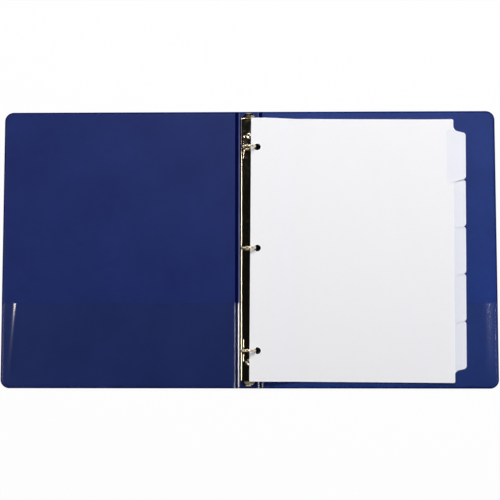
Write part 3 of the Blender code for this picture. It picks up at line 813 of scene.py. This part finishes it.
def makeHalfRing(sideName, side, ringName, y, look):
    # a disc at the tip, spun round the ring's middle and run straight down into its plate
    radius, wire = look["radius"] * mm, look["wire"] / 2 * mm
    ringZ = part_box(f"right_ring_{ringName}")[1].z - radius - wire
    tipTurn = math.asin(look["tipGap"] / 2 / look["radius"])
    endTurn = math.pi / 2 + math.acos(look["stemX"] / look["radius"])
    middle = Vector((0, y, ringZ))
    seat = (
        Matrix.Translation(middle) @ Matrix.Rotation(side * tipTurn, 4, "Y")
        @ Matrix.Translation((0, 0, radius)) @ Matrix.Rotation(math.pi / 2, 4, "Y")
    )
    shape = bmesh.new()
    bmesh.ops.create_circle(shape, cap_ends=True, segments=look["wireSides"], radius=wire, matrix=seat)
    shape.faces.ensure_lookup_table()
    tip = shape.faces[0]
    spun = bmesh.ops.spin(
        shape, geom=everything(shape), cent=middle, axis=(0, 1, 0), angle=side * (endTurn - tipTurn),
        steps=look["bendSteps"], use_merge=False, use_duplicate=False,
    )
    made = bmesh.ops.extrude_face_region(shape, geom=pick(spun["geom_last"], BMFace))
    down = Vector((side * math.cos(endTurn), 0, -math.sin(endTurn)))
    bmesh.ops.translate(shape, vec=down * look["stemLength"] * mm, verts=pick(made["geom"], BMVert))
    faceOutwards(shape)
    bmesh.ops.bevel(
        shape, geom=list(tip.edges), offset=look["tipBevel"] * mm, offset_type="OFFSET",
        segments=look["tipSteps"], profile=0.5, affect="EDGES", material=-1,
    )
    finishPiece(shape, f"{sideName}_wire_{ringName}", [nickelPlate],
                [f"{sideName}_ring_{ringName}"], f"{sideName}_rings")


for ringName, y in ringPlaces.items():
    for sideName, side in (("left", -1), ("right", 1)):
        makeHalfRing(sideName, side, ringName, y, ringWire)

# Ring metal: rivets, turned from a half profile of (radius, height) in mm

rivetTurned = {
    "rim": 3.1, "rise": 0.55, "bore": 1.4, "boreDepth": 1.5, "boreFloor": 0.98, "boreFillet": 0.15,
    "neck": 1.9, "post": 3.0, "shank": 2.2, "seat": 0.1, "foot": 4.0, "footEdge": 0.12,
    "rimSteps": 14, "turnSteps": 56,
}


def makeRivet(name, y, look):
    low, high = (corner.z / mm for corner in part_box(name))
    rimZ = high - look["rise"]
    boreZ = rimZ - look["boreDepth"]
    profile = [(0, boreZ), (look["boreFloor"], boreZ), (look["bore"], boreZ + look["boreFillet"])]
    centre, reach = (look["rim"] + look["bore"]) / 2, (look["rim"] - look["bore"]) / 2
    for angle in evenSteps(0, math.pi, look["rimSteps"]):
        profile.append((centre - reach * math.cos(angle), rimZ + look["rise"] * math.sin(angle)))
    postTop = housingHigh.z / mm - housingShell["sheet"] - look["seat"]
    postLow = coverHigh.z / mm + look["seat"]
    footTop = low + caseSkin["thickness"]
    footFlat = look["foot"] - look["footEdge"]
    profile += [
        (look["neck"], rimZ), (look["neck"], postTop), (look["post"], postTop), (look["post"], postLow),
        (look["shank"], postLow), (look["shank"], footTop), (footFlat, footTop),
        (look["foot"], footTop - look["footEdge"]), (footFlat, low), (0, low),
    ]
    shape = bmesh.new()
    line, edges = openLine(shape, [(radius * mm, y, z * mm) for radius, z in profile])
    bmesh.ops.spin(
        shape, geom=line + edges, cent=(0, y, 0), axis=(0, 0, 1), angle=math.tau, steps=look["turnSteps"],
        use_merge=True, use_duplicate=False,
    )
    bmesh.ops.remove_doubles(shape, verts=shape.verts[:], dist=snap)
    faceOutwards(shape)
    finishPiece(shape, f"{name}_turned", [nickelPlate], [name], "spine")


for name, y in rivetPlaces.items():
    makeRivet(name, y, rivetTurned)

# Ring metal: booster levers
# Outline points are (half width, distance from the binder's middle), heights (distance, height), in mm

boosterLever = {
    "sheet": 0.8,
    "outline": [(1.8, 131.0), (1.8, 133.9), (5.5, 133.9), (5.5, 139.4), (8.1, 139.4), (3.4, 144.4)],
    "tipCorner": 1.2, "tipSteps": 6,
    "heights": [(131.0, 3.56), (133.9, 3.56), (135.5, 5.2), (136.5, 5.2), (139.4, 5.6), (144.4, 8.6)],
    "tabSteps": 10,
    # the thumb tab's sides drop, in full once one crownPace-th of its length is past
    "crownDrop": 0.55, "crownPower": 4, "crownPace": 3, "crownStep": 1.6, "crownRows": 4,
    "edgeBevel": 0.22, "edgeSteps": 2, "edgeAngle": 50,
    "trunnion": {"y": 136.5, "z": 5.2, "radius": 0.5, "reach": 7.9, "sides": 20},
}


def makeBooster(name, end, look):
    # pressed from flat: tongue under the plates, body between the walls, crowned thumb tab outside
    shape = bmesh.new()
    half = look["outline"]
    points = half + [(-x, y) for x, y in reversed(half)]
    verts = flatOutline(shape, [(x * mm, y * mm) for x, y in points])
    roundCorners(shape, verts[len(half) - 1:len(half) + 1], look["tipCorner"], look["tipSteps"])
    tabLow, tabHigh = look["heights"][-2][0], look["heights"][-1][0]
    cuts = [y for y, z in look["heights"][1:-1]] + evenSteps(tabLow, tabHigh, look["tabSteps"])[1:-1]
    cutAcross(shape, 1, [y * mm for y in cuts])
    rows = range(-look["crownRows"], look["crownRows"] + 1)
    cutAcross(shape, 0, [row * look["crownStep"] * mm for row in rows])
    for vert in shape.verts:
        y = vert.co.y / mm
        share = min(max((y - tabLow) / (tabHigh - tabLow), 0), 1)
        halfWidth = half[-2][0] + (half[-1][0] - half[-2][0]) * share
        across = min(abs(vert.co.x) / (halfWidth * mm), 1)
        crown = smoothStep(share * look["crownPace"]) * across ** look["crownPower"]
        vert.co.z = (readRow(y, look["heights"]) - look["crownDrop"] * crown) * mm
    faceOutwards(shape)
    if sum(face.normal.z for face in shape.faces) < 0:
        bmesh.ops.reverse_faces(shape, faces=shape.faces[:])
    bmesh.ops.solidify(shape, geom=shape.faces[:], thickness=look["sheet"] * mm)
    raiseAll(shape, look["sheet"] / 2 * mm)
    pin = look["trunnion"]
    seat = Matrix.Translation((0, pin["y"] * mm, pin["z"] * mm)) @ Matrix.Rotation(math.pi / 2, 4, "Y")
    bmesh.ops.create_cone(
        shape, cap_ends=True, segments=pin["sides"], radius1=pin["radius"] * mm, radius2=pin["radius"] * mm,
        depth=2 * pin["reach"] * mm, matrix=seat,
    )
    if end < 0:
        turn = Matrix.Rotation(math.pi, 3, "Z")
        bmesh.ops.rotate(shape, cent=(0, 0, 0), matrix=turn, verts=shape.verts[:])
    faceOutwards(shape)
    piece = finishPiece(shape, f"{name}_lever", [nickelPlate], [name], name)
    edge = piece.modifiers.new("edge", "BEVEL")
    edge.width = look["edgeBevel"] * mm
    edge.segments = look["edgeSteps"]
    edge.limit_method = "ANGLE"
    edge.angle_limit = math.radians(look["edgeAngle"])


makeBooster("top_booster", 1, boosterLever)
makeBooster("bottom_booster", -1, boosterLever)
print("ring metal made")


# Dividers: card sheets that run off the rings and settle on the back cover

dividerCard = {
    "count": 5, "width": 215.9, "height": 279.4, "thickness": 0.25, "gap": 0.1,
    "skew": -0.4, "slip": 0.3,  # turned by degrees and slipped down by mm on the rings
    "nearEdge": 1.85, "hole": 7.1, "holeInset": 7.5, "holeSides": 40,
    "tabDepth": 12.7, "tabMargin": 14.6, "tabGap": 1.2, "tabRun": 3.2,
    "tabCorner": 2.5, "tabFillet": 4.5, "sheetCorner": 1.5, "cornerSteps": 8,
    "ringRest": 9.674, "coverRest": 3.0,  # heights of the lowest sheet, on the rings and on the cover
    "drapeStart": 13.5, "drapeLength": 42.0, "drapeSteps": 30,
    "edgeBand": 1.1,
    "curlLength": 55.0, "curlSteps": 12,
    "curls": (3.4, 2.0, 1.3, 0.6, 0.0),  # how far each tab's tip has lifted, top sheet first
    "filmInset": 6.9, "filmThickness": 0.035, "filmLift": 0.01,
}


def drapeRows(look):
    # rows of (length along the sheet, x, drop) in mm
    drop = look["ringRest"] - look["coverRest"]
    rows = [(0, look["nearEdge"], 0), (look["drapeStart"], look["nearEdge"] + look["drapeStart"], 0)]
    for step in range(1, look["drapeSteps"] + 1):
        share = step / look["drapeSteps"]
        fall = drop * smoothStep(share)
        run = math.sqrt((look["drapeLength"] / look["drapeSteps"]) ** 2 - (fall - rows[-1][2]) ** 2)
        rows.append((look["drapeStart"] + look["drapeLength"] * share, rows[-1][1] + run, fall))
    length = look["width"] + look["tabDepth"]
    rows.append((length, rows[-1][1] + length - rows[-1][0], drop))
    return rows


def tabSpan(index, look):
    # middle of a tab, and half its length at its base and at its outer edge
    pitch = (look["height"] - 2 * look["tabMargin"]) / look["count"]
    middle = look["height"] / 2 - look["tabMargin"] - (index + 0.5) * pitch
    edge = (pitch - look["tabGap"]) / 2
    return middle, edge + look["tabRun"], edge


def flatDivider(index, look):
    # the cut sheet before it is draped, with its tab and three punched holes, from its punched edge
    half, width, far = look["height"] / 2, look["width"], look["width"] + look["tabDepth"]
    middle, base, edge = tabSpan(index, look)
    points = [
        (0, -half), (width, -half), (width, middle - base), (far, middle - edge),
        (far, middle + edge), (width, middle + base), (width, half), (0, half),
    ]
    shape = bmesh.new()
    verts = flatOutline(shape, [(x * mm, y * mm) for x, y in points])
    # fillets where the tab grows out of the sheet, smaller rounds at its tip and at the sheet's corners
    rounds = {"tabFillet": (2, 5), "tabCorner": (3, 4), "sheetCorner": (1, 6)}
    for name, corners in rounds.items():
        roundCorners(shape, [verts[corner] for corner in corners], look[name], look["cornerSteps"])
    bmesh.ops.delete(shape, geom=shape.faces[:], context="FACES_ONLY")
    # punched in line with the rings, so set back by what the sheet will be turned and slipped
    turn = Matrix.Rotation(math.radians(look["skew"]), 3, "Z").inverted()
    radius = look["hole"] / 2 * mm
    for y in ringPlaces.values():
        hole = turn @ Vector(((look["nearEdge"] + look["holeInset"]) * mm, y + look["slip"] * mm, 0))
        seat = Matrix.Translation((hole.x - look["nearEdge"] * mm, hole.y, 0))
        bmesh.ops.create_circle(shape, segments=look["holeSides"], radius=radius, matrix=seat)
    bmesh.ops.triangle_fill(shape, use_beauty=True, edges=shape.edges[:], normal=(0, 0, 1))
    return shape


def drape(shape, index, look, above=0.0):
    # bends a flat sheet over its rows and sets it at its place in the stack
    rows = drapeRows(look)
    length = rows[-1][0]
    cutAcross(shape, 0, [row[0] * mm for row in rows[1:-1]])
    curlRows = evenSteps(length - look["curlLength"], length, look["curlSteps"])[:-1]
    cutAcross(shape, 0, [along * mm for along in curlRows])
    across = [(row[0], row[1]) for row in rows]
    fall = [(row[0], row[2]) for row in rows]
    lift = look["ringRest"] + (look["count"] - 1 - index) * (look["thickness"] + look["gap"]) + above
    for vert in shape.verts:
        along = vert.co.x / mm
        curl = look["curls"][index] * max(1 - (length - along) / look["curlLength"], 0) ** 2
        vert.co.x = readRow(along, across) * mm
        vert.co.z = (lift - readRow(along, fall) + curl) * mm
    turn = Matrix.Rotation(math.radians(look["skew"]), 3, "Z")
    bmesh.ops.rotate(shape, cent=(0, 0, 0), matrix=turn, verts=shape.verts[:])
    bmesh.ops.translate(shape, vec=(0, -look["slip"] * mm, 0), verts=shape.verts[:])


def thicken(shape, thickness):
    made = bmesh.ops.extrude_face_region(shape, geom=shape.faces[:])
    bmesh.ops.translate(shape, vec=(0, 0, thickness * mm), verts=pick(made["geom"], BMVert))
    faceOutwards(shape)


def makeDivider(name, index, look):
    shape = flatDivider(index, look)
    # painted highlight: the sheet's outer rim is marked to take a whiter colour
    layer = shape.verts.layers.float.new("paintedEdgeHighlight")
    shape.normal_update()
    rim = bmesh.ops.inset_region(
        shape, faces=shape.faces[:], thickness=look["edgeBand"] * mm,
        use_even_offset=True, use_boundary=True,
    )
    outer = set(vert for face in rim["faces"] for vert in face.verts if vert.is_boundary)
    for vert in shape.verts:
        vert[layer] = float(vert in outer)
    drape(shape, index, look)
    thicken(shape, look["thickness"])
    finishPiece(shape, f"{name}_card", [indexCard], [name], name, sharpAngle=50)


def makeTabFilm(name, index, look):
    # the tab's laminate, lapped a little way on to the sheet
    shape = flatDivider(index, look)
    middle, base, _ = tabSpan(index, look)
    cutAcross(shape, 0, [(look["width"] - look["filmInset"]) * mm], dropBelow=True)
    cutAcross(shape, 1, [(middle - base) * mm], dropBelow=True)
    cutAcross(shape, 1, [(middle + base) * mm], dropAbove=True)
    drape(shape, index, look, above=look["thickness"] + look["filmLift"])
    thicken(shape, look["filmThickness"])
    finishPiece(shape, f"{name}_tab_film", [tabFilm], body=name, sharpAngle=50)


for index in range(dividerCard["count"]):
    makeDivider(f"divider_{index + 1}", index, dividerCard)
    makeTabFilm(f"divider_{index + 1}", index, dividerCard)
print("dividers made")


# Stage: white table, soft lights, camera above

stageLook = {
    "floorSize": 24.0, "floorDrop": 0.3,  # metres across, and mm under the part
    "floorColour": "#FAFAFA", "floorGlow": 0.93,
    # ramps of the room: from and to along a direction of length one, then the levels at both
    "ceiling": (0.12, 0.5, 0.95, 0.005),  # bright walls fade into a dark ceiling
    "endWalls": (0.3, 0.8, 1.0, 0.4),  # dimmer beyond both ends of the spine
    "mirrorFill": (0.7, 0.82, 0.0, 0.22),  # seen in reflections alone
}


def makeFloor(look):
    shape = bmesh.new()
    bmesh.ops.create_grid(shape, x_segments=1, y_segments=1, size=look["floorSize"] / 2)
    raiseAll(shape, -look["floorDrop"] * mm)
    mesh = bpy.data.meshes.new("studio_table")
    shape.to_mesh(mesh)
    shape.free()
    # white paper sweep: white to the eye and in reflections, yet it takes the shadow
    material = bpy.data.materials.new("whitePaperSweep")
    material.use_nodes = True
    tree = material.node_tree
    tree.nodes.clear()
    path = addNode(tree, "LightPath")
    seen = addNode(tree, "Math", {"operation": "ADD"}, links={
        0: path.outputs["Is Camera Ray"], 1: path.outputs["Is Glossy Ray"]})
    seenAll = addNode(tree, "Math", {"operation": "ADD", "use_clamp": True}, links={
        0: seen.outputs["Value"], 1: path.outputs["Is Transmission Ray"]})
    glow = addNode(tree, "Math", {"operation": "MULTIPLY"}, {1: look["floorGlow"]},
                   {0: seenAll.outputs["Value"]})
    matt = addNode(tree, "BsdfDiffuse", values={"Color": linear(look["floorColour"])})
    light = addNode(tree, "Emission", values={"Color": linear("#FFFFFF"), "Strength": 1.0})
    mixed = addNode(tree, "MixShader", links={
        0: glow.outputs["Value"], 1: matt.outputs["BSDF"], 2: light.outputs["Emission"]})
    addNode(tree, "OutputMaterial", links={"Surface": mixed.outputs["Shader"]})
    mesh.materials.append(material)
    addObject("studio_table", mesh)


def makeWorld(look):
    # bright walls all round and a dark ceiling, so that metal facing up stays dark
    world = bpy.data.worlds.new("studioRoom")
    bpy.context.scene.world = world
    world.use_nodes = True
    tree = world.node_tree
    direction = addNode(tree, "TexCoord").outputs["Generated"]
    split = addNode(tree, "SeparateXYZ", links={"Vector": direction})
    ends = addNode(tree, "Math", {"operation": "ABSOLUTE"}, links={0: split.outputs["Y"]}).outputs["Value"]
    ramps = {}
    for name, along in {"ceiling": split.outputs["Z"], "endWalls": ends, "mirrorFill": ends}.items():
        levels = dict(zip(("From Min", "From Max", "To Min", "To Max"), look[name]))
        ramps[name] = addNode(tree, "MapRange", {"interpolation_type": "SMOOTHSTEP"}, levels,
                              {"Value": along}).outputs["Result"]
    # dim end walls keep the ring wires dark
    level = addNode(tree, "Math", {"operation": "MULTIPLY"}, links={
        0: ramps["ceiling"], 1: ramps["endWalls"]})
    # beyond the ends, mirrored light fills in between wall and ceiling: metal seen from the side stays pale
    ray = addNode(tree, "LightPath")
    mirrored = addNode(tree, "Math", {"operation": "MULTIPLY_ADD"}, links={
        0: ramps["mirrorFill"], 1: ray.outputs["Is Glossy Ray"], 2: level.outputs["Value"]})
    # the camera itself sees a plain white room
    seen = addNode(tree, "Math", {"operation": "MAXIMUM"}, links={
        0: mirrored.outputs["Value"], 1: ray.outputs["Is Camera Ray"]})
    fillSockets(tree, tree.nodes["Background"], {"Color": linear("#FFFFFF")},
                {"Strength": seen.outputs["Value"]})


# Places, aims and sizes in metres
studioLights = {
    "keyBox": {"place": (0.33, 0.9, 1.45), "aim": (0.1, 0, 0), "size": (1.0, 0.6), "watts": 22.4,
               "colour": "#FFFFFF"},
    "leftBox": {"place": (-1.25, 0.095, 1.3), "aim": (0, 0, 0), "size": (0.62, 0.16), "watts": 7.1,
                "colour": "#FFF6EA"},
    "rightBox": {"place": (1.2, -0.1, 1.3), "aim": (0, -0.05, 0), "size": (0.9, 0.5), "watts": 5.6,
                 "colour": "#DDE5FF"},
    "sideStrip": {"place": (-1.4, -0.1, 0.28), "aim": (0, -0.1, 0), "size": (0.9, 0.15), "watts": 1.5,
                  "colour": "#FFFFFF"},
}


def makeLight(name, look):
    lamp = bpy.data.lights.new(name, "AREA")
    lamp.shape = "RECTANGLE"
    lamp.size, lamp.size_y = look["size"]
    lamp.energy = look["watts"]
    lamp.color = linear(look["colour"])[:3]
    light = addObject(name, lamp)
    light.location = look["place"]
    towards = Vector(look["aim"]) - Vector(look["place"])
    light.rotation_euler = towards.to_track_quat("-Z", "Y").to_euler()


photoCamera = {
    "place": (0.025, -0.0996, 1.2), "turn": (4.689, 1.128, 0.014),  # metres and degrees
    "focalPixels": 1130.5, "imagePixels": 500, "sensorMm": 36.0,
}


def makeCamera(look):
    lens = bpy.data.cameras.new("photoCamera")
    lens.sensor_width = look["sensorMm"]
    lens.lens = look["focalPixels"] / look["imagePixels"] * look["sensorMm"]
    camera = addObject("photoCamera", lens)
    camera.location = look["place"]
    camera.rotation_euler = [math.radians(turn) for turn in look["turn"]]
    bpy.context.scene.camera = camera


makeFloor(stageLook)
makeWorld(stageLook)
for name, look in studioLights.items():
    makeLight(name, look)
makeCamera(photoCamera)
bpy.context.scene.view_settings.view_transform = "Standard"
print("stage set")
